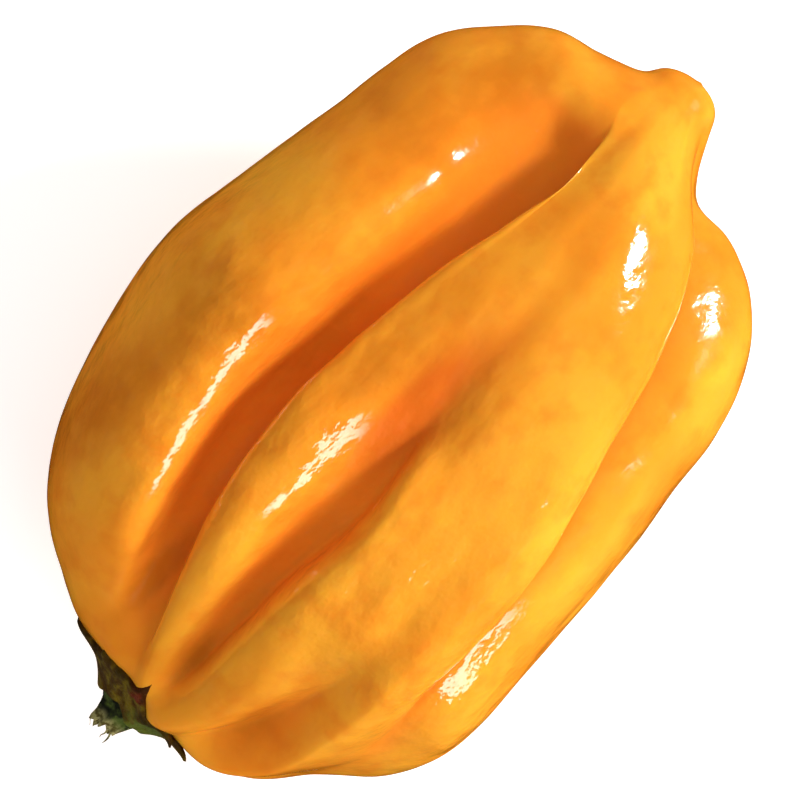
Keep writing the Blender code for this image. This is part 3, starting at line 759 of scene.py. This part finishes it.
def make_calyx(pod):
    """A thin cap wrapped over the pod's stem end, lumpy and short-toothed."""
    skin = BVHTree.FromObject(pod, bpy.context.evaluated_depsgraph_get())
    outside, inside, shares = [], [], []
    for ring in range(CALYX_RINGS + 1):
        share = (ring / CALYX_RINGS) ** RING_SPACING
        sides = [calyx_sides(skin, 360 * column / CALYX_COLUMNS, share) for column in range(CALYX_COLUMNS)]
        outside.append([outer for outer, _ in sides])
        inside.append([inner for _, inner in sides])
        shares.append([share] * CALYX_COLUMNS)
    rings = outside + inside[::-1][1:]
    marks = {
        "edge": shares + shares[::-1][1:],
        "fresh": [[nearness(point, FRESH) for point in ring] for ring in rings],
        "rusty": [[nearness(point, RUSTY) for point in ring] for ring in rings],
    }
    calyx = closed_skin("calyx_cap", rings, calyx_skin(), marks)
    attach(calyx, "root")
    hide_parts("calyx")


# The stem's stub, from inside the calyx to its torn end, as (along, across, up, radius).
STEM_RINGS = (
    (0.3, 0.1, 0.0, 2.1), (-0.15, 0.1, 0.0, 1.75), (-0.5, 0.1, 0.0, 1.45), (-0.9, 0.15, 0.0, 1.25),
    (-1.3, 0.2, 0.0, 1.1), (-1.7, 0.3, 0.0, 1.0), (-1.95, 0.3, 0.0, 0.92),
)
STEM_RIDGES = 5  # the stem is a little five-sided
STEM_RIDGE = 0.06  # by this share of its radius
STEM_GRAIN = (0.07, 4.0, 0.6)  # how uneven it is, as a share of its radius, and how often round and along
STEM_TEAR = 0.35  # how far the torn edge runs in and out
TEAR_SPLINTERS = (0.7, 3.1, 9.0)  # their share in the tear, how often round, and their place in the noise
STEM_END_DIP = 0.25  # how far the torn end is hollowed
STEM_COLUMNS = 96
STEM_FINE_RINGS = 28
STEM_END_RINGS = 8


def stem_ring(along, across, up, radius, tear):
    """One ring round the stem, five-sided and grained. tear runs its points in and out lengthwise."""
    unevenness, rate_round, rate_along = STEM_GRAIN
    splintered, splinter_rate, splinter_place = TEAR_SPLINTERS
    ring = []
    for column in range(STEM_COLUMNS):
        turn = 2 * math.pi * column / STEM_COLUMNS
        side, height = math.sin(turn), math.cos(turn)
        grain = noise.noise(Vector((rate_round * side, rate_round * height, rate_along * along)))
        reach = radius * (1 + unevenness * grain + STEM_RIDGE * math.cos(STEM_RIDGES * turn))
        splinter = noise.noise(Vector((splinter_rate * side, splinter_rate * height, splinter_place)))
        ragged = math.sin(3 * turn) * math.cos(2 * turn + 1) + splintered * splinter
        ring.append((along - tear * ragged, across + reach * side, up + reach * height))
    return ring


def make_stem():
    """A short stub with a torn end."""
    centres = spline([ring[:3] for ring in STEM_RINGS], STEM_FINE_RINGS)
    radii = np.interp(-centres[:, 0], [-ring[0] for ring in STEM_RINGS], [ring[3] for ring in STEM_RINGS])
    rings, torn = [[tuple(centres[0])]], [[0.0]]
    for index, (centre, radius) in enumerate(zip(centres, radii)):
        share = index / (STEM_FINE_RINGS - 1)
        rings.append(stem_ring(*centre, radius, STEM_TEAR * share**3))
        torn.append([share] * STEM_COLUMNS)
    along, across, up = centres[-1]
    for step in range(1, STEM_END_RINGS):
        outward_share = 1 - step / STEM_END_RINGS
        dipped = along + STEM_END_DIP * (1 - outward_share)
        rings.append(stem_ring(dipped, across, up, radii[-1] * outward_share, STEM_TEAR * outward_share))
        torn.append([1.0] * STEM_COLUMNS)
    rings.append([(along + STEM_END_DIP, across, up)])
    torn.append([1.0])
    stem = closed_skin("stem_stub", rings, stem_skin(), {"torn": torn})
    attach(stem, "root")
    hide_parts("stem")


# Torn threads at the stem's end, as points (along, across, up) from root to tip, with the root's radius.
FIBRES = (
    (0.05, (-1.7, 0.95, 0.5), (-2.1, 1.15, 0.6), (-2.35, 0.95, 0.65), (-2.5, 0.9, 0.6)),
    (0.09, (-1.8, -0.35, 0.6), (-2.2, -0.5, 0.7), (-2.55, -0.5, 0.65), (-2.75, -0.45, 0.6)),
    (0.07, (-1.8, -0.1, 0.8), (-2.15, -0.15, 0.95), (-2.4, -0.05, 0.95), (-2.6, -0.1, 0.9)),
    (0.06, (-1.8, 0.7, 0.7), (-2.1, 0.8, 0.85), (-2.3, 0.7, 0.9), (-2.4, 0.75, 0.85)),
)
FIBRE_RINGS = 14
FIBRE_COLUMNS = 8
FIBRE_TAPER = 0.6  # below one, a thread stays thick for longer before it tapers


def thread_ring(centre, radius):
    """A small ring of points round a thread."""
    along, across, up = centre
    turns = [2 * math.pi * column / FIBRE_COLUMNS for column in range(FIBRE_COLUMNS)]
    return [(along, across + radius * math.sin(turn), up + radius * math.cos(turn)) for turn in turns]


def make_fibres():
    """Thin tapering threads left where the stem was torn off."""
    for index, (radius, *points) in enumerate(FIBRES):
        centres = spline(points, FIBRE_RINGS)
        rings = [[tuple(centres[0])]]
        for step, centre in enumerate(centres[:-1]):
            rings.append(thread_ring(centre, radius * (1 - step / FIBRE_RINGS) ** FIBRE_TAPER))
        rings.append([tuple(centres[-1])])
        torn = [[1.0] * len(ring) for ring in rings]
        fibre = closed_skin("stem_fibre_%d" % (index + 1), rings, stem_skin(), {"torn": torn})
        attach(fibre, "root")


# ----------------------------------------------------------------------------- floor, light and camera

FLOOR_SIZE = 3.0  # metres
FLOOR_WHITE = (0.93, 0.93, 0.92, 1.0)
FLOOR_ROUGHNESS = 0.8
# The floor gives off some light itself, as paper on a light table does, so the shadow on it stays light.
FLOOR_GLOW = 0.56
GLOW_COLOUR = (0.95, 0.98, 1.0, 1.0)

WHITE = (1.0, 1.0, 1.0)
WARM_WHITE = (1.0, 0.98, 0.95)
# The lights, as (direction from the pod, distance and size in metres, power in watts, colour). The two keys
# make the glints near the stem end and near the tip, and the fill, which lights from above, makes none.
LIGHTS = {
    "side_key": ((-0.15, -0.76, 0.63), 0.7, (0.32, 0.26), 1.85, WARM_WHITE),
    "tip_key": ((0.72, -0.48, 0.5), 0.7, (0.12, 0.12), 4.6, WARM_WHITE),
    "fill": ((0.1, -0.05, 1.0), 0.9, (0.8, 0.8), 2.4, WHITE),
}
STUDIO_GLOW = 0.28  # the strength of the light that comes from all round

CAMERA_LENS = 300.0
SENSOR = 36.0
NEAR_CLIP = 0.01  # metres
FRAME_WIDTH = 50.9  # across the picture, at the height of the pod's axis
CAMERA_OVER = (26.1, 0.7)  # the point under the camera, along and across from the stem end
CAMERA_ROLL = -46.72  # degrees


def make_floor():
    """A pale sheet at the height that the pod lies on."""
    mesh = bpy.data.meshes.new("floor")
    half = FLOOR_SIZE / 2
    corners = [(-half, -half, 0.0), (half, -half, 0.0), (half, half, 0.0), (-half, half, 0.0)]
    mesh.from_pydata(corners, [], [(0, 1, 2, 3)])
    nodes = Nodes("floor_paper")
    nodes.shader.inputs["Base Color"].default_value = FLOOR_WHITE
    nodes.shader.inputs["Roughness"].default_value = FLOOR_ROUGHNESS
    nodes.shader.inputs["Emission Color"].default_value = GLOW_COLOUR
    nodes.shader.inputs["Emission Strength"].default_value = FLOOR_GLOW
    floor = linked("floor", mesh, nodes.material)
    floor.visible_glossy = False


def area_light(name, direction, distance, size, power, colour):
    """A flat rectangular light that faces the middle of the pod."""
    light = bpy.data.lights.new(name, "AREA")
    light.shape = "RECTANGLE"
    light.size, light.size_y = size
    light.energy = power
    light.color = colour
    lamp = bpy.data.objects.new(name, light)
    away = Vector(direction).normalized()
    middle = Vector((0.0, 0.0, -ORIGIN[2] * MM))
    lamp.location = middle + away * distance
    lamp.rotation_euler = away.to_track_quat("Z", "Y").to_euler()
    bpy.context.scene.collection.objects.link(lamp)
    return lamp


def make_lights():
    """The area lights, and a white world that lights all round and shows in no reflection."""
    for name, numbers in LIGHTS.items():
        lamp = area_light(name, *numbers)
        lamp.visible_glossy = name != "fill"
    world = bpy.data.worlds.new("studio")
    world.use_nodes = True
    background = world.node_tree.nodes["Background"]
    background.inputs["Color"].default_value = (*WHITE, 1.0)
    background.inputs["Strength"].default_value = STUDIO_GLOW
    world.cycles_visibility.glossy = False
    bpy.context.scene.world = world


def make_camera():
    """A long lens that looks straight down on the pod."""
    lens = bpy.data.cameras.new("camera")
    lens.lens = CAMERA_LENS
    lens.sensor_width = SENSOR
    lens.clip_start = NEAR_CLIP
    camera = bpy.data.objects.new("camera", lens)
    distance = FRAME_WIDTH * CAMERA_LENS / SENSOR
    camera.location = placed((*CAMERA_OVER, distance))
    camera.rotation_euler = (0.0, 0.0, math.radians(CAMERA_ROLL))
    bpy.context.scene.collection.objects.link(camera)
    bpy.context.scene.camera = camera


bpy.context.scene.view_settings.view_transform = "Standard"
make_camera()
make_floor()
make_lights()
pod_piece = make_pod()
make_calyx(pod_piece)
make_stem()
make_fibres()
